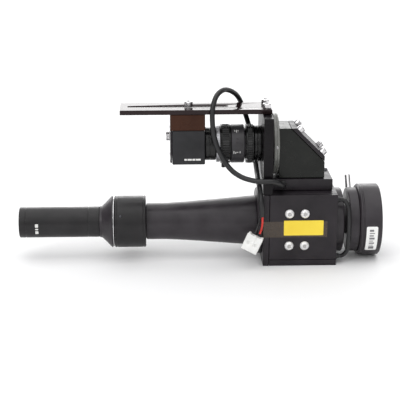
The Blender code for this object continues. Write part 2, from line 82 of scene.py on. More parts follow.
def low_high(node):
    low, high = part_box(node)
    return Vector(low), Vector(high)


def add(name, data, node=None, body=None, place=None, hide=()):
    """A new piece that rides as its CAD node does. hide names the CAD nodes that it stands for."""
    made = bpy.data.objects.new(name, data)
    scene.collection.objects.link(made)
    if place:
        made.matrix_world = place
    if hide:
        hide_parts(*hide)
    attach(made, body or BODY_OF[node])
    return made


def paint(made, material):
    made.data.materials.clear()
    made.data.materials.append(material)
    return made


# Materials


class Nodes:
    """A node tree with short names for what every material here does."""

    def __init__(self, name):
        self.material = bpy.data.materials.new(name)
        self.material.use_nodes = True
        self.tree = self.material.node_tree
        self.shader = self.tree.nodes["Principled BSDF"]

    def node(self, kind, **settings):
        made = self.tree.nodes.new(kind)
        for key, value in settings.items():
            setattr(made, key, value)
        return made

    def link(self, a, b):
        self.tree.links.new(a, b)

    def set(self, **values):
        for key, value in values.items():
            self.shader.inputs[key.replace("_", " ")].default_value = value

    def place(self, scale=(1.0, 1.0, 1.0)):
        coordinates = self.node("ShaderNodeTexCoord")
        mapping = self.node("ShaderNodeMapping")
        mapping.inputs["Scale"].default_value = scale
        self.link(coordinates.outputs["Object"], mapping.inputs["Vector"])
        return mapping.outputs["Vector"]

    def noise(self, scale, detail=3.0, stretch=(1.0, 1.0, 1.0)):
        made = self.node("ShaderNodeTexNoise")
        made.inputs["Scale"].default_value = scale
        made.inputs["Detail"].default_value = detail
        self.link(self.place(stretch), made.inputs["Vector"])
        return made.outputs["Fac"]

    def ramp(self, value, low, high, start=0.3, end=0.7):
        made = self.node("ShaderNodeMapRange")
        made.inputs["From Min"].default_value = start
        made.inputs["From Max"].default_value = end
        made.inputs["To Min"].default_value = low
        made.inputs["To Max"].default_value = high
        self.link(value, made.inputs["Value"])
        return made.outputs["Result"]

    def mix(self, share, low, high):
        made = self.node("ShaderNodeMix", data_type="RGBA")
        made.inputs["A"].default_value = (*low, 1.0)
        made.inputs["B"].default_value = (*high, 1.0)
        self.link(share, made.inputs["Factor"])
        return made.outputs["Result"]

    def bump(self, height, strength, distance, after=None):
        made = self.node("ShaderNodeBump")
        made.inputs["Strength"].default_value = strength
        made.inputs["Distance"].default_value = distance
        self.link(height, made.inputs["Height"])
        if after:
            self.link(after, made.inputs["Normal"])
        return made.outputs["Normal"]

    def use(self, socket, value):
        self.link(value, self.shader.inputs[socket])

    def tone(self, scale, detail, low, high):
        """A base colour that wanders between two tones."""
        self.use("Base Color", self.mix(self.ramp(self.noise(scale, detail), 0.0, 1.0), low, high))


def anodised(name, colour, rough=(0.28, 0.42), ior=1.4, turned=False, tint=(1.0, 1.0, 1.0)):
    """Anodised aluminium: a fine blasted grain, slow changes of tone and, on a turned part, lathe lines."""
    m = Nodes(name)
    lighter = tuple(min(1.0, c * 1.35 + 0.004) for c in colour)
    darker = tuple(c * 0.8 for c in colour)
    m.tone(55.0, 4.0, darker, lighter)
    m.use("Roughness", m.ramp(m.noise(140.0, 5.0), *rough))
    m.set(Metallic=0.0, IOR=ior, Specular_Tint=(*tint, 1.0))
    grain = m.bump(m.noise(5200.0, 2.0), 0.10, 0.00004)
    if turned:
        lines = m.noise(2600.0, 2.0, (1.0, 0.02, 0.02))
        grain = m.bump(lines, 0.22, 0.00005, grain)
    m.use("Normal", grain)
    return m.material


def bright_metal(name, colour, rough, turned_scale=2200.0, metallic=1.0):
    """Plated or machined steel with fine turning marks and light smudges."""
    m = Nodes(name)
    m.tone(180.0, 4.0, tuple(c * 0.86 for c in colour), colour)
    m.use("Roughness", m.ramp(m.noise(420.0, 4.0), *rough))
    m.set(Metallic=metallic)
    m.use("Normal", m.bump(m.noise(turned_scale, 2.0), 0.10, 0.00003))
    return m.material


def soft_plastic(name, colour, rough, grain, strength=0.15):
    """Cable jacket, wire jacket or moulded plastic."""
    m = Nodes(name)
    m.tone(90.0, 3.0, tuple(c * 0.82 for c in colour), colour)
    m.use("Roughness", m.ramp(m.noise(300.0, 4.0), *rough))
    m.set(Metallic=0.0, IOR=1.5)
    m.use("Normal", m.bump(m.noise(grain, 3.0), strength, 0.00005))
    return m.material


def glass(name, colour, coat):
    """Coated optical glass: nearly black from outside, with a tinted reflection."""
    m = Nodes(name)
    m.tone(25.0, 2.0, colour, coat)
    m.use("Roughness", m.ramp(m.noise(60.0, 2.0), 0.02, 0.06))
    m.set(Metallic=0.0, IOR=1.7, Coat_Weight=0.6, Coat_Roughness=0.02, Transmission_Weight=0.35)
    return m.material


def paper(name, colour, faded):
    """A printed paper or vinyl label with faint fibres and handling marks."""
    m = Nodes(name)
    m.tone(70.0, 5.0, faded, colour)
    m.use("Roughness", m.ramp(m.noise(600.0, 4.0), 0.55, 0.7))
    m.use("Normal", m.bump(m.noise(1800.0, 4.0), 0.12, 0.00006))
    return m.material


BLACK = anodised("black_anodised", (0.0145, 0.0115, 0.0145), ior=1.35)
UPPER_BLACK = anodised("upright_anodised", (0.003, 0.002, 0.003), rough=(0.24, 0.36), ior=1.26)
LENS_BLACK = anodised("lens_anodised", (0.004, 0.004, 0.004), rough=(0.18, 0.30), ior=1.42)
BLACK_TURNED = anodised("black_anodised_turned", (0.010, 0.009, 0.010), turned=True)
GREY = anodised("grey_anodised", (0.020, 0.018, 0.020))
GREY_TURNED = anodised("grey_anodised_turned", (0.026, 0.022, 0.026), turned=True)
OLIVE_BLACK = anodised("mirror_box_anodised", (0.0035, 0.0045, 0.003), rough=(0.24, 0.36), ior=1.36)
CAMERA_GREY = anodised("camera_anodised", (0.016, 0.016, 0.018), rough=(0.34, 0.46), ior=1.35)
SLEEVE_GREY = anodised("lens_sleeve_anodised", (0.032, 0.030, 0.033), rough=(0.34, 0.46), turned=True)
DISC_GREY = anodised("rotation_disc_anodised", (0.15, 0.152, 0.14), rough=(0.22, 0.34), ior=1.6, turned=True)
BROWN = anodised("brown_anodised", (0.036, 0.0105, 0.0035), rough=(0.24, 0.36), ior=1.26)
ARM_BLACK = anodised("arm_gloss_anodised", (0.009, 0.004, 0.0045), rough=(0.12, 0.20), ior=1.36,
                     tint=(0.98, 0.86, 0.87))
CHROME = bright_metal("plated_steel", (0.74, 0.73, 0.74), (0.14, 0.28))
STEEL_DARK = bright_metal("black_oxide_steel", (0.10, 0.10, 0.11), (0.26, 0.42))
LOCK_SILVER = bright_metal("satin_lock_ring", (0.46, 0.46, 0.48), (0.26, 0.40))
GOLD = bright_metal("gilded_contact", (0.83, 0.60, 0.26), (0.16, 0.30))
SCREW_WHITE = bright_metal("pale_zinc", (0.93, 0.92, 0.92), (0.34, 0.5), metallic=0.45)
# These two paint shade into the hex sockets: a pale grey in the white button heads, a dark grey in the rest.
SOCKET_PALE_SHADE = bright_metal("pale_socket_shade", (0.62, 0.61, 0.60), (0.4, 0.6))
SOCKET_SHADOW = bright_metal("socket_shadow", (0.16, 0.16, 0.17), (0.4, 0.6))
MIRROR = bright_metal("front_silvered_mirror", (0.93, 0.93, 0.95), (0.01, 0.03), 60.0)
GLASS = glass("coated_glass", (0.05, 0.10, 0.14), (0.12, 0.06, 0.16))
BOARD = soft_plastic("circuit_board", (0.02, 0.14, 0.06), (0.4, 0.6), 900.0)
PVC = soft_plastic("black_cable_jacket", (0.009, 0.009, 0.010), (0.32, 0.46), 1400.0, 0.2)
RED_PVC = soft_plastic("red_wire_jacket", (0.62, 0.03, 0.02), (0.34, 0.46), 1400.0)
NYLON = soft_plastic("white_nylon", (0.92, 0.92, 0.90), (0.38, 0.52), 1200.0)
YELLOW = paper("yellow_label", (0.95, 0.73, 0.06), (0.91, 0.67, 0.05))
WHITE_PAPER = paper("white_label", (0.93, 0.93, 0.92), (0.87, 0.87, 0.85))
PRINT_GREY = paper("label_print", (0.16, 0.16, 0.17), (0.22, 0.22, 0.23))
MARK_WHITE = paper("engraved_fill", (0.80, 0.80, 0.78), (0.70, 0.70, 0.68))
TAPE = soft_plastic("polyimide_tape", (0.052, 0.036, 0.024), (0.20, 0.34), 500.0, 0.3)

SLOT_LOOKS = {
    "black_anodised": BLACK,
    "grey_anodised": GREY,
    "brown_anodised": BROWN,
    "chrome": CHROME,
    "white_screw": SCREW_WHITE,
    "mirror": MIRROR,
    "glass": GLASS,
    "board": BOARD,
    "black_pvc": PVC,
    "red_pvc": RED_PVC,
    "white_plastic": NYLON,
}
for node, shown in frame["nodes"].items():
    paint(shown, SLOT_LOOKS[SLOT_OF[node]])


# Cords. Their routes repeat those of the CAD tubes, in metres.


def smooth_route(points, spacing):
    """Even points along a smooth curve through a route's own points (centripetal Catmull-Rom)."""
    route = [Vector(p) for p in points]
    route = [2 * route[0] - route[1], *route, 2 * route[-1] - route[-2]]
    dense = []
    for a, b, c, d in zip(route, route[1:], route[2:], route[3:]):
        t1 = (b - a).length ** 0.5
        t2 = t1 + (c - b).length ** 0.5
        t3 = t2 + (d - c).length ** 0.5
        for step in range(24):
            t = t1 + (t2 - t1) * step / 24
            ab = a.lerp(b, t / t1)
            bc = b.lerp(c, (t - t1) / (t2 - t1))
            cd = c.lerp(d, (t - t2) / (t3 - t2))
            abc = ab.lerp(bc, t / t2)
            bcd = bc.lerp(cd, (t - t1) / (t3 - t1))
            dense.append(abc.lerp(bcd, (t - t1) / (t2 - t1)))
    dense.append(route[-2])
    lengths = [0.0]
    for a, b in zip(dense, dense[1:]):
        lengths.append(lengths[-1] + (b - a).length)
    count = max(2, round(lengths[-1] / spacing))
    even = []
    k = 0
    for i in range(count + 1):
        target = lengths[-1] * i / count
        while k < len(lengths) - 2 and lengths[k + 1] < target:
            k += 1
        share = (target - lengths[k]) / (lengths[k + 1] - lengths[k])
        even.append(dense[k].lerp(dense[k + 1], share))
    return even


CABLE_D = 4.3 * MM
WIRE_D = 1.8 * MM
JUMPER_D = 3.5 * MM
CABLE_EXIT = (-0.0142, -0.0222, 0.0682)
CABLE_ROUTE = [
    CABLE_EXIT,
    (-0.0142, -0.0256, 0.0684),
    (-0.0154, -0.0290, 0.0698),
    (-0.0184, -0.0324, 0.0726),
    (-0.0256, -0.0350, 0.0752),
    (-0.0329, -0.0352, 0.0752),
    (-0.0426, -0.0320, 0.0759),
    (-0.0507, -0.0290, 0.0783),
    (-0.0588, -0.0260, 0.0840),
    (-0.0679, -0.0230, 0.0985),
    (-0.0724, -0.0215, 0.1135),
    (-0.0734, -0.0205, 0.1301),
    (-0.0723, -0.0185, 0.1372),
    (-0.0697, -0.0145, 0.1430),
    (-0.0657, -0.0090, 0.1458),
    (-0.0612, -0.0020, 0.1456),
    (-0.0557, 0.0055, 0.1424),
    (-0.0510, 0.0125, 0.1374),
    (-0.0470, 0.0189, 0.1296),
    (-0.0426, 0.0215, 0.1176),
    (-0.0389, 0.0214, 0.1050),
    (-0.0360, 0.0202, 0.0920),
    (-0.0348, 0.0140, 0.0804),
    (-0.0344, 0.0000, 0.0736),
    (-0.0344, -0.0160, 0.0700),
    (-0.0340, -0.0280, 0.0660),
    (-0.0334, -0.0346, 0.0584),
    (-0.0326, -0.0354, 0.0510),
    (-0.0324, -0.0354, 0.0453),
]
WIRE_ROUTES = {
    "wire_red": [
        (-0.0322, -0.0362, 0.0450),
        (-0.0322, -0.0364, 0.0398),
        (-0.0330, -0.0368, 0.0346),
        (-0.0344, -0.0372, 0.0307),
    ],
    "wire_black": [
        (-0.0336, -0.0344, 0.0450),
        (-0.0350, -0.0346, 0.0398),
        (-0.0367, -0.0360, 0.0346),
        (-0.0380, -0.0372, 0.0319),
    ],
}
JUMPER_ROUTE = [
    (0.0345, -0.0246, 0.0560),
    (0.0366, -0.0248, 0.0558),
    (0.0402, -0.0270, 0.0510),
    (0.0410, -0.0284, 0.0440),
    (0.0412, -0.0292, 0.0310),
    (0.0410, -0.0284, 0.0180),
    (0.0402, -0.0270, 0.0110),
    (0.0366, -0.0248, 0.0064),
    (0.0345, -0.0246, 0.0062),
]


# Piece builders. Profiles are in millimetres, from the left end of the CAD node that they stand for.


def shaded(made):
    """Smooth faces whose flats stay flat beside their rounded edges."""
    for polygon in made.data.polygons:
        polygon.use_smooth = True
    modifier = made.modifiers.new("even_normals", "WEIGHTED_NORMAL")
    modifier.weight = 80
    return made


def mesh_from(build, name):
    shape = bmesh.new()
    build(shape)
    bmesh.ops.recalc_face_normals(shape, faces=shape.faces[:])
    mesh = bpy.data.meshes.new(name)
    shape.to_mesh(mesh)
    shape.free()
    return mesh


def aim(start, direction):
    """The place of a part made along local Z, from start (metres) along direction."""
    turn = Vector(direction).to_track_quat("Z", "Y").to_matrix().to_4x4()
    return Matrix.Translation(Vector(start)) @ turn


def soft_corners(profile, radius, closed):
    """A profile with each real corner turned into a short arc."""
    points = [Vector(p) for p in profile]
    count = len(points)
    rounded = []
    for i, corner in enumerate(points):
        if not closed and i in (0, count - 1):
            rounded.append(corner)
            continue
        before = points[i - 1] - corner
        after = points[(i + 1) % count] - corner
        if before.length < 1e-6 or after.length < 1e-6 or before.angle(after) > math.radians(168):
            rounded.append(corner)
            continue
        start = corner + before.normalized() * min(radius, 0.4 * before.length)
        end = corner + after.normalized() * min(radius, 0.4 * after.length)
        for step in range(4):
            t = step / 3
            rounded.append(start.lerp(corner, t).lerp(corner.lerp(end, t), t))
    return rounded


def lathe_mesh(name, outer, inner=None, radius=0.2, sides=ROUND, flutes=None):
    """A turned shape along local Z from (place along, radius) profiles. flutes = count, depth, from, to."""
    profile = list(outer) + list(reversed(inner or []))
    closed = bool(inner)
    profile = soft_corners(profile, radius, closed)
    if flutes:
        count, depth, low, high = flutes
        sides = 4 * count

    def build(shape):
        rows = []
        for along, reach in profile:
            if reach < 1e-6:
                rows.append([shape.verts.new((0.0, 0.0, along * MM))])
                continue
            row = []
            for k in range(sides):
                angle = math.tau * k / sides
                r = reach
                if flutes and low <= along <= high and reach > 0.8 * max(p[1] for p in profile):
                    r -= depth if k % 4 in (0, 1) else 0.0
                spot = (r * math.cos(angle) * MM, r * math.sin(angle) * MM, along * MM)
                row.append(shape.verts.new(spot))
            rows.append(row)
        pairs = list(zip(rows, rows[1:]))
        if closed:
            pairs.append((rows[-1], rows[0]))
        for a, b in pairs:
            for k in range(sides):
                n = (k + 1) % sides
                if len(a) == 1:
                    shape.faces.new((a[0], b[k], b[n]))
                elif len(b) == 1:
                    shape.faces.new((a[k], b[0], a[n]))
                else:
                    shape.faces.new((a[k], b[k], b[n], a[n]))

    return mesh_from(build, name)


def x_lathe(node, outer, inner, look, radius=0.2, flutes=None):
    """A turned piece along X in a CAD node's place. Places along it are from the node's left end."""
    low, high = low_high(node)
    start = (low.x, 0.0, (low.z + high.z) / 2)
    mesh = lathe_mesh(node, outer, inner, radius, flutes=flutes)
    made = add(node + "_turned", mesh, node, place=aim(start, (1, 0, 0)), hide=(node,))
    return shaded(paint(made, look))


def fluted_ends(left, right, radius):
    """The plain ends and the knurled middle of a grip ring's outline."""
    return [(left, radius - 0.5), (left + 0.45, radius), (left + 1.1, radius), (left + 1.15, radius - 0.25),
            (left + 1.45, radius - 0.25), (left + 1.5, radius), (right - 1.5, radius),
            (right - 1.45, radius - 0.25), (right - 1.15, radius - 0.25), (right - 1.1, radius),
            (right - 0.45, radius), (right, radius - 0.5)]


def round_box_mesh(name, low, high, radius, segments=3):
    def build(shape):
        bmesh.ops.create_cube(shape, size=1.0)
        for v in shape.verts:
            v.co = Vector((high[i] if v.co[i] > 0 else low[i] for i in range(3)))
        bmesh.ops.bevel(shape, geom=shape.edges[:], offset=radius, segments=segments, profile=0.5,
                        affect="EDGES", clamp_overlap=True)

    return mesh_from(build, name)


def prism_mesh(name, outline, y_low, y_high, radius, segments=3):
    def build(shape):
        face = shape.faces.new([shape.verts.new((x, y_low, z)) for x, z in outline])
        grown = bmesh.ops.extrude_face_region(shape, geom=[face])["geom"]
        for v in (g for g in grown if isinstance(g, bmesh.types.BMVert)):
            v.co.y = y_high
        bmesh.ops.recalc_face_normals(shape, faces=shape.faces[:])
        bmesh.ops.bevel(shape, geom=shape.edges[:], offset=radius, segments=segments, profile=0.5,
                        affect="EDGES", clamp_overlap=True)

    return mesh_from(build, name)


def minus(mesh, cutters):
    """The mesh less every cutter mesh."""
    host = bpy.data.objects.new("cut_host", mesh)
    scene.collection.objects.link(host)
    spare = []
    for cutter in cutters:
        tool = bpy.data.objects.new("cut_tool", cutter)
        scene.collection.objects.link(tool)
        spare.append(tool)
        modifier = host.modifiers.new("cut", "BOOLEAN")
        modifier.object = tool
        modifier.operation = "DIFFERENCE"
        modifier.solver = "EXACT"
    result = bpy.data.meshes.new_from_object(host.evaluated_get(bpy.context.evaluated_depsgraph_get()))
    result.name = mesh.name + "_cut"
    for tool in [host, *spare]:
        bpy.data.objects.remove(tool)
    return result


def cutter_mesh(start, direction, radius, length, sides=48):
    def build(shape):
        bmesh.ops.create_cone(shape, cap_ends=True, segments=sides, radius1=radius * MM, radius2=radius * MM,
                              depth=length * MM, matrix=Matrix.Translation((0, 0, length * MM / 2)))
        shape.transform(aim(start, direction))

    return mesh_from(build, "cutter")


def plate(node, radius, look, cutters=()):
    """A rounded plate or block in a CAD node's place."""
    low, high = low_high(node)
    mesh = round_box_mesh(node + "_plate", low, high, radius * MM)
    if cutters:
        mesh = minus(mesh, cutters)
    return shaded(paint(add(node + "_rounded", mesh, node, hide=(node,)), look))


def joined(name, meshes):
    """One mesh of several closed shells."""
    shape = bmesh.new()
    for mesh in meshes:
        shape.from_mesh(mesh)
    made = bpy.data.meshes.new(name)
    shape.to_mesh(made)
    shape.free()
    return made


# Screws


def socket_head(name, radius, height, domed):
    """A screw head with a hex socket, from its seat at 0 up to its top. The socket is the second material,
    which paints shade into its hollow.
    """
    if domed:
        outer = [(0.0, 0.0), (0.0, radius), (0.25 * height, radius), (0.62 * height, 0.88 * radius),
                 (0.9 * height, 0.66 * radius), (height, 0.5 * radius), (height, 0.0)]
        body = lathe_mesh(name, outer, radius=0.12, sides=64)
    else:
        outer = [(0.0, 0.0), (0.0, radius), (0.86 * height, radius), (height, radius - 0.35), (height, 0.0)]
        body = lathe_mesh(name, outer, radius=0.12, flutes=(30, 0.09, 0.02 * height, 0.8 * height))
    reach = 0.46 * radius
    depth = 0.55 * height
    socket = cutter_mesh((0, 0, (height - depth) * MM), (0, 0, 1), reach, 2 * depth, 6)
    mesh = minus(body, [socket])
    mesh.materials.clear()
    mesh.materials.append(None)
    mesh.materials.append(None)
    # The socket's wall faces get the second material, a painted shade in the hollow.
    floor = (height - 0.02) * MM
    for polygon in mesh.polygons:
        middle = polygon.center
        socket_shade = math.hypot(middle.x, middle.y) < 1.02 * reach * MM and middle.z < floor and middle.z > 1e-6
        polygon.material_index = 1 if socket_shade else 0
    return mesh


def end_along(node, direction):
    """The middle of a CAD node's far end along a direction."""
    direction = Vector(direction).normalized()
    points = [v.co.copy() for v in frame["nodes"][node].data.vertices]
    far = max(p.dot(direction) for p in points)
    ends = [p for p in points if p.dot(direction) > far - 0.00003]
    low = Vector((min(p[i] for p in ends) for i in range(3)))
    high = Vector((max(p[i] for p in ends) for i in range(3)))
    return (low + high) / 2


def put_screw(node, direction, head, height, look, socket_shade):
    top = end_along(node, direction)
    direction = Vector(direction).normalized()
    place = aim(top - direction * height * MM, direction)
    made = add(node + "_head", head.copy(), node, place=place, hide=(node,))
    made.data.materials[0] = look
    # The second material paints shade into the socket.
    made.data.materials[1] = socket_shade
    return shaded(made)


def small_screw(name, place, direction, head, body, slot, look):
    made = add(name, head.copy(), body=body, place=aim(place, direction))
    made.data.materials[0] = look
    # The second material paints shade into the socket.
    made.data.materials[1] = SOCKET_SHADOW
    return shaded(made)


# Labels and marks


def sheet_mesh(name, width, height, corner, thickness, put, across=10):
    """A thin closed sheet with round corners, sized in mm. put(u, v, lift) gives the point in metres."""
    rows = []
    for k in range(7):
        rows.append(corner * (1 - math.cos(math.pi / 2 * k / 6)))
    body = [corner + (height - 2 * corner) * k / 14 for k in range(1, 14)]
    rows = rows + body + [height - r for r in reversed(rows)]

    def build(shape):
        layers = []
        for lift in (0.0, thickness):
            layer = []
            for v in rows:
                edge = min(v, height - v)
                inset = corner - math.sqrt(max(0.0, corner**2 - (corner - min(edge, corner)) ** 2))
                line = [inset + (width - 2 * inset) * k / across for k in range(across + 1)]
                layer.append([shape.verts.new(put(u, v, lift)) for u in line])
            layers.append(layer)
        under, over = layers
        for a, b in zip(range(len(rows)), range(1, len(rows))):
            for k in range(across):
                shape.faces.new((over[a][k], over[a][k + 1], over[b][k + 1], over[b][k]))
                shape.faces.new((under[a][k], under[b][k], under[b][k + 1], under[a][k + 1]))
            shape.faces.new((under[a][0], over[a][0], over[b][0], under[b][0]))
            shape.faces.new((under[a][-1], under[b][-1], over[b][-1], over[a][-1]))
        for k in range(across):
            shape.faces.new((under[0][k], under[0][k + 1], over[0][k + 1], over[0][k]))
            shape.faces.new((under[-1][k], over[-1][k], over[-1][k + 1], under[-1][k + 1]))

    return mesh_from(build, name)


def on_front(x, z, face):
    """Puts a sheet on a face that looks towards -Y."""
    return lambda u, v, lift: ((x + u) * MM, face - (0.03 + lift) * MM, (z + v) * MM)


def on_ring(x, angle, axis_z, radius):
    """Wraps a sheet round an X axis, from an angle above the front, in degrees."""
    def put(u, v, lift):
        turn = math.radians(angle) + v / radius
        reach = (radius + 0.02 + lift) * MM
        return ((x + u) * MM, -reach * math.cos(turn), axis_z + reach * math.sin(turn))
    return put


def spot_on_ring(x, radius, angle, axis_z):
    """A point on a ring round an X axis, and the way out of it. The angle is above the front, in radians."""
    way_out = (0.0, -math.cos(angle), math.sin(angle))
    return (x, -radius * math.cos(angle), axis_z + radius * math.sin(angle)), way_out


def stick(name, width, height, corner, put, body, look, thickness=0.10, across=10):
    mesh = sheet_mesh(name, width, height, corner, thickness, put, across)
    return paint(add(name, mesh, body=body), look)


# Beam block


LOW_Z = (low_high("rear_barrel")[0].z + low_high("rear_barrel")[1].z) / 2
UP_Z = (low_high("focus_ring")[0].z + low_high("focus_ring")[1].z) / 2

plate("left_side_plate", 0.45, BLACK)
plate("base_plate", 0.45, BLACK)
plate("block_body", 0.45, BLACK)
plate("front_cover", 0.45, BLACK)
plate("adapter_plate", 0.7, BLACK)

BUTTON_HEIGHT = 2.3
CAP_HEIGHT = 3.6
CLAMP_HEIGHT = 4.0
button = socket_head("button_head", 3.8, BUTTON_HEIGHT, True)
cap_mirror = socket_head("cap_head_mirror", 3.3, CAP_HEIGHT, False)
cap_arm = socket_head("cap_head_arm", 3.5, CAP_HEIGHT, False)
cap_clamp = socket_head("cap_head_clamp", 3.5, CLAMP_HEIGHT, False)
flush = socket_head("flush_head", 2.3, 0.5, True)
grub = socket_head("grub_screw", 1.1, 0.6, True)
for number in range(1, 5):
    put_screw(f"cover_screw_{number}", (0, -1, 0), button, BUTTON_HEIGHT, SCREW_WHITE, SOCKET_PALE_SHADE)
    put_screw(f"mirror_screw_{number}", (1, 0, 1), cap_mirror, CAP_HEIGHT, CHROME, SOCKET_SHADOW)
for number in (1, 2):
    put_screw(f"arm_screw_{number}", (0, 0, 1), cap_arm, CAP_HEIGHT, CHROME, SOCKET_SHADOW)
put_screw("clamp_screw", (0, 0, 1), cap_clamp, CLAMP_HEIGHT, CHROME, SOCKET_SHADOW)

block_high = low_high("block_body")[1]
side_low = low_high("left_side_plate")[0]
for number, (y, z) in enumerate(((-26, 6), (26, 6), (-26, 56), (26, 56)), 1):
    small_screw(f"side_plate_screw_{number}", (side_low.x + 0.3 * MM, y * MM, z * MM), (-1, 0, 0), flush,
                "root", "black_anodised", STEEL_DARK)
for number, (x, z) in enumerate(((-20, 11), (25, 11), (-20, 56), (25, 56)), 1):
    small_screw(f"back_screw_{number}", (x * MM, block_high.y - 0.48 * MM, z * MM), (0, 1, 0), flush, "root",
                "black_anodised", STEEL_DARK)

front_y = low_high("front_cover")[0].y
BLOCK_HALF = 31.0
TAPE_RIGHT = 22.8
TAPE_FOOT = 25.3


def tape_place(u, v, lift):
    """The tape runs left along the front and turns round the block's left edge."""
    stand = (0.03 + lift) * MM
    turn = 0.45
    flat = TAPE_RIGHT + BLOCK_HALF - turn
    arc = turn * math.pi / 2
    height = (TAPE_FOOT + v) * MM
    if u <= flat:
        return ((TAPE_RIGHT - u) * MM, front_y - stand, height)
    if u <= flat + arc:
        angle = (u - flat) / turn
        reach = turn * MM + stand
        middle = (side_low.x + turn * MM, front_y + turn * MM)
        return (middle[0] - reach * math.sin(angle), middle[1] - reach * math.cos(angle), height)
    return (side_low.x - stand, front_y + (turn + u - flat - arc) * MM, height)


stick("tape_band", 74.0, 13.8, 0.3, tape_place, "root", TAPE, 0.05, 148)
stick("yellow_label", 33.2, 13.0, 0.6, on_front(-13.7, 27.0, front_y - 0.08 * MM), "root",
      YELLOW)

# Barrel on the right

BARREL_R = 30.5

x_lathe("rear_neck",
        [(0.0, 27.4), (5.9, 27.4), (6.7, 26.6), (6.7, 12.5), (11.7, 12.5), (11.7, 26.8), (12.3, 27.4),
         (19.7, 27.4), (19.7, 20.0), (28.7, 20.0)],
        [(0.0, 10.0), (18.7, 10.0), (28.7, 17.0)], GREY_TURNED)
x_lathe("rear_barrel",
        [(0.0, 29.3), (1.2, BARREL_R), (2.3, BARREL_R), (2.7, 30.0), (3.5, 30.0), (3.9, BARREL_R),
         (17.7, BARREL_R), (18.5, 29.7)],
        [(0.0, 20.3), (9.2, 20.3), (10.2, 22.0), (12.4, 22.0), (12.6, 21.4), (13.2, 21.4), (13.4, 22.0),
         (18.5, 22.0)], GREY_TURNED)
x_lathe("objective_lens",
        [(0.0, 0.0), (0.0, 21.7), (3.2, 21.7), (3.9, 18.0), (4.5, 13.0), (5.0, 7.0), (5.2, 0.0)],
        None, GLASS, 0.1)
lean = math.radians(38)
outward = Vector((0.0, math.sin(lean), math.cos(lean)))
lock_start = Vector((0.0468, 0.0, LOW_Z)) + outward * 21.4 * MM
lock = add("barrel_lock_screw_turned",
           lathe_mesh("lock", [(0.0, 0.0), (0.0, 2.3), (3.0, 2.3), (3.2, 2.5), (19.0, 2.5), (20.2, 1.9),
                               (20.8, 0.8), (20.8, 0.0)], flutes=(24, 0.16, 9.0, 18.5)),
           "barrel_lock_screw", place=aim(lock_start, outward), hide=("barrel_lock_screw",))
shaded(paint(lock, CHROME))

label_x = 56.2
LABEL_ANGLE = -42.0  # degrees, the label's lower edge
MARK_THICKNESS = 0.02
stick("barrel_label", 9.6, 25.0, 1.2, on_ring(label_x, LABEL_ANGLE, LOW_Z, BARREL_R), "objective",
      WHITE_PAPER)
bars = ((2.0, 3.4), (6.6, 0.7), (8.5, 1.5), (11.2, 0.8), (13.2, 1.9), (16.2, 1.2), (18.6, 0.8), (20.6, 1.8))
for number, (along, length) in enumerate(bars, 1):
    angle = LABEL_ANGLE + math.degrees(along / BARREL_R)
    stick(f"barrel_label_print_{number}", 4.4 if number % 2 else 3.6, length, 0.2,
          on_ring(label_x + 2.6, angle, LOW_Z, BARREL_R + 0.13), "objective", PRINT_GREY,
          MARK_THICKNESS, 3)

# Tapered tube on the left

TUBE_R = 13.0

x_lathe("tube_flange", [(0.0, 27.6), (0.9, 28.5), (3.7, 28.5)], [(0.0, 14.0), (3.7, 14.0)], GREY_TURNED)
x_lathe("main_tube",
        [(0.0, 14.5), (21.6, 14.5), (21.6, 15.5), (39.0, 15.6), (55.0, 16.5), (71.6, 17.8), (87.0, 19.0),
         (102.0, 20.3), (108.0, 20.9), (113.0, 21.2), (114.7, 21.2)],
        [(0.0, 12.0), (90.0, 12.0), (90.0, 13.0), (114.7, 13.0)], GREY_TURNED)
x_lathe("focus_collar",
        [(0.0, 21.3), (0.7, 22.0), (1.6, 22.0), (1.9, 21.7), (2.3, 21.7), (2.6, 22.0), (24.0, 22.0),
         (24.3, 21.7), (24.7, 21.7), (25.0, 22.0), (25.9, 22.0), (26.6, 21.3)],
        [(0.0, 14.8), (26.6, 14.8)], BLACK_TURNED)
x_lathe("lock_ring", [(0.0, 21.2), (0.8, 21.2)], [(0.0, 12.0), (0.8, 12.0)], CHROME)
x_lathe("cone_adapter",
        [(0.0, 13.2), (2.0, 13.6), (4.0, 15.4), (10.1, 21.6), (10.5, 21.9), (11.3, 21.9), (11.3, 11.7),
         (30.5, 11.7)],
        [(0.0, 9.0), (30.5, 9.0)], GREY_TURNED)
x_lathe("front_barrel",
        [(0.0, 12.4), (0.6, TUBE_R), (5.0, TUBE_R), (5.2, 12.8), (5.8, 12.8), (6.0, TUBE_R), (58.0, TUBE_R),
         (58.2, 12.8), (58.8, 12.8), (59.0, TUBE_R), (67.9, TUBE_R)],
        [(0.0, 11.3), (0.8, 11.3), (1.0, 10.9), (1.6, 10.9), (1.8, 11.3), (8.2, 11.3), (8.2, 10.0),
         (67.9, 10.0)],
        BLACK_TURNED)
x_lathe("front_lens", [(0.0, 0.0), (0.25, 4.0), (0.9, 7.0), (2.0, 11.0), (5.0, 11.0), (5.0, 0.0)],
        None, GLASS, 0.1)
for number, (along, length) in enumerate(((0.0, 3.2), (4.2, 1.4), (6.6, 3.0)), 1):
    angle = -32.0 + math.degrees(along / TUBE_R)
    stick(f"front_barrel_mark_{number}", 2.6, length, 0.3, on_ring(-222.8, angle, LOW_Z, TUBE_R), "front",
          MARK_WHITE, MARK_THICKNESS, 3)
small_screw("collar_grub", *spot_on_ring(-0.1505, 0.0219, 0.5, LOW_Z), grub, "collar", "chrome", STEEL_DARK)

# Fold mirror, upright and arm

box_low, box_high = low_high("mirror_box")
SLOPE = 107.4 * MM  # X + Z on the box's cut corner
COVER_SLOPE = 112.2 * MM  # X + Z on the cover's outer face
UNDER_COVER = SLOPE + 0.45 * MM


def prism_piece(node, outline, radius, look):
    low, high = low_high(node)
    mesh = prism_mesh(node + "_prism", outline, low.y, high.y, radius * MM)
    return shaded(paint(add(node + "_rounded", mesh, node, hide=(node,)), look))


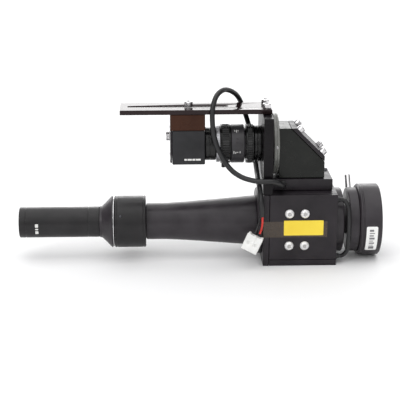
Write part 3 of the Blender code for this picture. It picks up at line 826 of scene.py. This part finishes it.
prism_piece("mirror_box", [(box_low.x, box_low.z), (box_high.x, box_low.z), (box_high.x, SLOPE - box_high.x),
                           (SLOPE - box_high.z, box_high.z), (box_low.x, box_high.z)], 0.6, OLIVE_BLACK)
prism_piece("mirror_cover", [(box_high.x, UNDER_COVER - box_high.x), (box_high.x, COVER_SLOPE - box_high.x),
                             (COVER_SLOPE - box_high.z, box_high.z), (UNDER_COVER - box_high.z, box_high.z)],
            0.35, BLACK)
x_lathe("rotation_flange",
        [(0.0, 16.0), (0.7, 16.0), (0.7, 25.2), (1.3, 25.8), (2.9, 25.8), (3.1, 25.5), (3.5, 25.5),
         (3.7, 25.8), (4.8, 25.8), (5.4, 25.2)],
        [(0.0, 12.0), (5.4, 12.0)], DISC_GREY)
mount_low, mount_high = low_high("mount_plate")
mount_x = (mount_low.x + mount_high.x) / 2
thread_z = (0.1143, 0.0867)
plate("mount_plate", 0.7, UPPER_BLACK,
      [cutter_mesh((mount_x, mount_low.y - 1 * MM, z), (0, 1, 0), 1.6, 9.0) for z in thread_z])
for number, z in enumerate(thread_z, 1):
    coils = []
    for turn in range(9):
        coils += [(0.25 + 0.7 * turn, 1.58), (0.6 + 0.7 * turn, 1.3)]
    ring = lathe_mesh("thread", [(0.1, 1.6), (7.0, 1.6)], coils, radius=0.02, sides=48)
    made = add(f"threaded_hole_{number}", ring, body=BODY_OF["mount_plate"],
               place=aim((mount_x, mount_low.y, z), (0, 1, 0)))
    shaded(paint(made, STEEL_DARK))
arm_low = low_high("top_plate")[0]
slot_z = arm_low.z - 1 * MM
slot_ends = (-0.1432, -0.0615)
slot_cut = [cutter_mesh((x, 0, slot_z), (0, 0, 1), 2.5, 6.0) for x in slot_ends]
slot_low = (slot_ends[0], -2.5 * MM, slot_z)
slot_high = (slot_ends[1], 2.5 * MM, slot_z + 6 * MM)
slot_cut.append(round_box_mesh("slot", slot_low, slot_high, 1e-6, 1))
plate("top_plate", 0.4, ARM_BLACK, slot_cut)

small_screw("disc_grub", *spot_on_ring(-0.0200, 0.0257, 0.1, UP_Z), grub, BODY_OF["rotation_flange"],
            "chrome", CHROME)
box_screw = socket_head("box_screw", 1.5, 2.6, False)
small_screw("mirror_box_side_screw", (box_high.x, -0.0110, 0.0782), (1, 0, 0), box_screw,
            BODY_OF["mirror_box"], "chrome", STEEL_DARK)

# Camera and its lens

RING_R = 16.5  # the two grip rings
SLEEVE_R = 16.2

plate("camera_bracket", 0.4, BROWN)
plate("camera_body", 1.0, CAMERA_GREY)
plate("camera_rear_cover", 0.5, BLACK)
cam_low = low_high("camera_body")[0]
back_low = low_high("camera_rear_cover")[0]
pin_head = socket_head("camera_screw", 1.25, 0.5, True)
for number, (y, z) in enumerate(((-11.4, 87.6), (11.4, 87.6), (-11.4, 111.0), (11.4, 111.0)), 1):
    small_screw(f"camera_back_screw_{number}", (back_low.x + 0.25 * MM, y * MM, z * MM), (-1, 0, 0), pin_head,
                BODY_OF["camera_body"], "black_anodised", STEEL_DARK)
for number, (x, y) in enumerate(((-99.0, -9.0), (-99.0, 9.0), (-86.0, -9.0), (-86.0, 9.0)), 1):
    small_screw(f"camera_base_screw_{number}", (x * MM, y * MM, cam_low.z + 0.25 * MM), (0, 0, -1), pin_head,
                BODY_OF["camera_body"], "black_anodised", STEEL_DARK)
print_x = -96.4
for number, (along, width) in enumerate(((0.0, 2.2), (2.7, 3.6), (6.8, 2.4), (9.7, 4.0)), 1):
    stick(f"camera_print_{number}", width, 1.5, 0.2, on_front(print_x + along, 88.2, cam_low.y),
          BODY_OF["camera_body"], MARK_WHITE, MARK_THICKNESS, 3)
x_lathe("camera_connector",
        [(0.0, 3.6), (0.3, 4.0), (0.7, 4.0), (0.8, 3.8), (1.0, 3.8), (1.1, 4.0), (1.5, 4.0), (1.6, 3.8),
         (1.8, 3.8), (1.9, 4.0), (3.1, 4.0)],
        [(0.0, 3.0), (2.2, 3.0), (2.2, 1.2), (3.1, 1.2)], CHROME, 0.08)
plug_low, plug_high = low_high("camera_connector")
plug_z = (plug_low.z + plug_high.z) / 2
PINS = 6
PIN_CIRCLE = 2.1 * MM  # radius
pin_outline = [(0.0, 0.0), (0.0, 0.32), (1.5, 0.32), (1.8, 0.2), (1.8, 0.0)]
for number in range(PINS):
    angle = math.tau * number / PINS
    pin = lathe_mesh("pin", pin_outline, radius=0.05, sides=24)
    spot = (plug_low.x + 2.2 * MM, PIN_CIRCLE * math.cos(angle), plug_z + PIN_CIRCLE * math.sin(angle))
    shaded(paint(add(f"camera_pin_{number + 1}", pin, body=BODY_OF["camera_connector"],
                     place=aim(spot, (-1, 0, 0))), GOLD))

x_lathe("camera_mount_ring", [(0.0, 13.4), (0.6, 14.0), (3.6, 14.0), (3.8, 13.8), (4.2, 13.8), (4.4, 14.0),
                              (8.3, 14.0), (8.9, 13.4)], [(0.0, 12.4), (8.9, 12.4)], LENS_BLACK)
x_lathe("lens_lock_ring", [(0.0, 15.1), (0.4, 15.5), (2.9, 15.5), (3.3, 15.1)], [(0.0, 12.4), (3.3, 12.4)],
        LOCK_SILVER, flutes=(60, 0.12, 0.35, 2.95))
x_lathe("aperture_ring", fluted_ends(0.0, 8.5, RING_R), [(0.0, 13.2), (8.5, 13.2)], LENS_BLACK, 0.08,
        (48, 0.55, 1.5, 7.0))
x_lathe("lens_sleeve", [(0.0, 15.7), (0.5, SLEEVE_R), (10.6, SLEEVE_R), (11.1, 15.7)],
        [(0.0, 13.2), (11.1, 13.2)], SLEEVE_GREY)
x_lathe("focus_ring", fluted_ends(0.0, 6.7, RING_R), [(0.0, 13.2), (6.7, 13.2)], LENS_BLACK, 0.08,
        (48, 0.55, 1.5, 5.2))
x_lathe("lens_front_ring", [(0.0, 14.8), (0.5, 15.3), (2.4, 15.3), (2.6, 15.0), (3.0, 15.0), (3.2, 15.3),
                            (5.5, 15.3), (6.0, 14.8)], [(0.0, 13.2), (6.0, 13.2)], LENS_BLACK)
thumb = add("aperture_thumb_screw_turned",
            lathe_mesh("thumb", [(0.0, 0.0), (0.0, 1.3), (2.2, 1.3), (2.2, 1.7), (5.6, 1.7), (6.0, 1.3),
                                 (6.0, 0.0)], flutes=(20, 0.14, 2.5, 5.5)),
            "aperture_thumb_screw",
            place=aim((-0.063, 0.0, low_high("aperture_thumb_screw")[1].z), (0, 0, -1)),
            hide=("aperture_thumb_screw",))
shaded(paint(thumb, BLACK_TURNED))
GRUB_SINK = 0.35
ring_screws = (("aperture_grub", -58.6, -46.0, "aperture_ring"), ("focus_grub", -44.0, -41.0, "focus_ring"))
for name, x, angle, node in ring_screws:
    spot, way_out = spot_on_ring(x * MM, (RING_R - GRUB_SINK) * MM, math.radians(angle), UP_Z)
    small_screw(name, spot, way_out, grub, BODY_OF[node], "chrome", CHROME)
sleeve_body = BODY_OF["lens_sleeve"]
# Each tick: place along X, angle above the front in degrees, width and length.
sleeve_ticks = ((-53.0, 48.0, 0.5, 3.0), (-54.4, 52.0, 0.5, 1.6), (-51.6, 52.0, 0.5, 1.6),
                (-55.4, -18.0, 0.6, 2.6), (-53.9, -18.0, 0.6, 1.6), (-53.0, -14.0, 1.6, 0.5),
                (-50.2, -16.0, 0.5, 1.8))
for number, (x, angle, width, length) in enumerate(sleeve_ticks, 1):
    stick(f"sleeve_tick_{number}", width, length, 0.1, on_ring(x, angle, UP_Z, SLEEVE_R), sleeve_body,
          MARK_WHITE, MARK_THICKNESS, 3)
(plug_x, plug_y, plug_up), way_out = spot_on_ring(-0.0523, SLEEVE_R * MM, 0.37, UP_Z)
circle_spot = aim((plug_x, plug_y + 0.2 * MM, plug_up), way_out)
circle = lathe_mesh("circle", [(-0.6, 0.0), (-0.6, 1.9), (0.12, 1.9), (0.12, 1.5), (-0.1, 1.3), (-0.1, 0.0)],
                    radius=0.05, sides=48)
plug = add("sleeve_plug", circle, body=sleeve_body, place=circle_spot)
paint(shaded(plug), LENS_BLACK)

# Leads


def tube_of(name, route, diameter, node, look):
    """A cord's mesh along a route that the CAD tube follows, its length and its middle line."""
    points = smooth_route(route, 0.45 * diameter)
    curve = bpy.data.curves.new(name, "CURVE")
    curve.dimensions = "3D"
    curve.bevel_depth = diameter / 2
    curve.bevel_resolution = 6
    curve.use_fill_caps = True
    spline = curve.splines.new("POLY")
    spline.points.add(len(points) - 1)
    for point, place in zip(spline.points, points, strict=True):
        point.co = (*place, 1.0)
    spline.use_smooth = True
    guide = bpy.data.objects.new(name + "_guide", curve)
    scene.collection.objects.link(guide)
    mesh = bpy.data.meshes.new_from_object(guide.evaluated_get(bpy.context.evaluated_depsgraph_get()))
    bpy.data.objects.remove(guide)
    bpy.data.curves.remove(curve)
    made = paint(add(name, mesh, node, hide=(node,)), look)
    for polygon in mesh.polygons:
        polygon.use_smooth = len(polygon.vertices) == 4
    return made, sum((b - a).length for a, b in zip(points, points[1:])), points


cable, cable_length, cable_line = tube_of("cable_jacket", CABLE_ROUTE, CABLE_D, "cable", PVC)
jumper, jumper_length, jumper_line = tube_of("jumper_jacket", JUMPER_ROUTE, JUMPER_D, "jumper_cable", PVC)
for wire in WIRE_ROUTES:
    look = RED_PVC if wire == "wire_red" else PVC
    tube_of(wire + "_jacket", WIRE_ROUTES[wire], WIRE_D, wire, look)[0]


def gland(node, direction, outer):
    low, high = low_high(node)
    middle = (low + high) / 2
    direction = Vector(direction)
    start = middle - direction * abs((high - low).dot(direction)) / 2
    made = add(node + "_turned", lathe_mesh(node, outer, radius=0.25, sides=64), node,
               place=aim(start, direction), hide=(node,))
    return shaded(paint(made, PVC))


CABLE_GLAND = [(0.0, 0.0), (0.0, 3.2), (1.4, 3.2), (1.6, 2.6), (1.9, 2.6), (2.1, 3.0), (2.5, 2.9), (2.7, 2.5),
               (3.5, 2.5), (3.5, 0.0)]
JUMPER_GLAND = [(0.0, 0.0), (0.0, 2.6), (1.2, 2.6), (1.5, 2.2), (2.9, 2.1), (2.9, 0.0)]
cable_gland = gland("cable_gland", (0, -1, 0), CABLE_GLAND)
jumper_glands = [gland(f"jumper_gland_{end}", (1, 0, 0), JUMPER_GLAND) for end in ("top", "bottom")]


def make_connector():
    """A white crimp housing with two wire holes above, two contact cavities below, a latch and side rails."""
    low, high = (-6.7 * MM, -2.5 * MM, -7.5 * MM), (6.7 * MM, 3.5 * MM, 6.6 * MM)
    body = round_box_mesh("housing", low, high, 0.5 * MM)
    cutters = []
    for x in (-3.3, 3.3):
        cutters.append(round_box_mesh("cavity", ((x - 2.3) * MM, -1.5 * MM, -9 * MM),
                                      ((x + 2.3) * MM, 2.5 * MM, -2.5 * MM), 0.2 * MM, 1))
        cutters.append(cutter_mesh((x * MM, 0.5 * MM, 3.0 * MM), (0, 0, 1), 1.5, 6.0, 32))
        cutters.append(round_box_mesh("window", ((x - 1.1) * MM, -4 * MM, -1.5 * MM),
                                      ((x + 1.1) * MM, -1.6 * MM, 1.0 * MM), 0.15 * MM, 1))
    parts = [minus(body, cutters)]
    parts.append(prism_mesh("latch", [(-1.1 * MM, -2.0 * MM), (1.1 * MM, -2.0 * MM), (1.1 * MM, 7.5 * MM),
                                      (-1.1 * MM, 7.5 * MM)], -3.5 * MM, -2.2 * MM, 0.3 * MM))
    for x in (-6.75, 6.75):
        parts.append(round_box_mesh("rail", ((x - 0.25) * MM, -1.8 * MM, -7.4 * MM),
                                    ((x + 0.25) * MM, -0.6 * MM, 6.4 * MM), 0.15 * MM, 2))
    for x in (-5.6, 5.6):
        parts.append(round_box_mesh("lip", ((x - 0.9) * MM, -2.2 * MM, 6.0 * MM),
                                    ((x + 0.9) * MM, 3.2 * MM, 7.5 * MM), 0.3 * MM, 2))
    tilt = Matrix.Rotation(math.radians(24), 4, "Y") @ Matrix.Rotation(math.radians(-16), 4, "Z")
    low, high = low_high("connector")
    place = Matrix.Translation((low + high) / 2) @ tilt
    made = add("crimp_housing", joined("crimp_housing", parts), "connector", place=place, hide=("connector",))
    return shaded(paint(made, NYLON))


housing = make_connector()


# Floor and light


def make_stage():
    bpy.ops.mesh.primitive_plane_add(size=60.0)
    floor = bpy.context.object
    floor.name = "floor"
    m = Nodes("pale_floor")
    m.tone(3.0, 2.0, (0.90, 0.90, 0.905), (0.92, 0.92, 0.925))
    m.use("Roughness", m.ramp(m.noise(20.0, 2.0), 0.7, 0.8))
    m.set(Specular_IOR_Level=0.1)
    paint(floor, m.material)
    world = bpy.data.worlds.new("studio")
    world.use_nodes = True
    # A soft sky, brighter overhead and darker towards both ends of the optical axes.
    tree = world.node_tree
    coordinates = tree.nodes.new("ShaderNodeTexCoord")
    split = tree.nodes.new("ShaderNodeSeparateXYZ")
    tree.links.new(coordinates.outputs["Generated"], split.inputs["Vector"])
    sideways = tree.nodes.new("ShaderNodeMath")
    sideways.operation = "ABSOLUTE"
    tree.links.new(split.outputs["X"], sideways.inputs[0])
    product = tree.nodes.new("ShaderNodeMath")
    product.operation = "MULTIPLY"
    ranges = ((sideways.outputs["Value"], 0.45, 0.95, 1.0, 0.2), (split.outputs["Z"], 0.1, 0.75, 0.66, 1.2))
    for slot, (value, start, end, first, last) in enumerate(ranges):
        span = tree.nodes.new("ShaderNodeMapRange")
        span.interpolation_type = "SMOOTHSTEP"
        span.inputs["From Min"].default_value = start
        span.inputs["From Max"].default_value = end
        span.inputs["To Min"].default_value = first
        span.inputs["To Max"].default_value = last
        tree.links.new(value, span.inputs["Value"])
        tree.links.new(span.outputs["Result"], product.inputs[slot])
    tree.links.new(product.outputs["Value"], tree.nodes["Background"].inputs["Strength"])
    tree.nodes["Background"].inputs["Color"].default_value = (1.0, 1.0, 1.0, 1.0)
    scene.world = world
    lamps = (
        ("overhead", (-0.1, -0.1, 2.2), (-0.06, 0.0, 0.0), 2.6, 2.6, 13.0),
        ("back_panel", (-0.1, 2.8, 0.85), (-0.1, 0.0, 0.2), 3.6, 1.3, 35.0),
        ("front_left", (-1.5, -1.6, 1.2), (-0.06, 0.0, 0.06), 0.7, 0.7, 9.0),
    )
    for name, place, target, wide, high, power in lamps:
        data = bpy.data.lights.new(name, "AREA")
        data.shape = "RECTANGLE"
        data.size = wide
        data.size_y = high
        data.energy = power
        lamp = bpy.data.objects.new(name, data)
        scene.collection.objects.link(lamp)
        lamp.visible_camera = False
        lamp.location = place
        lamp.rotation_euler = (Vector(target) - lamp.location).to_track_quat("-Z", "Y").to_euler()


make_stage()
scene.view_settings.view_transform = "Standard"
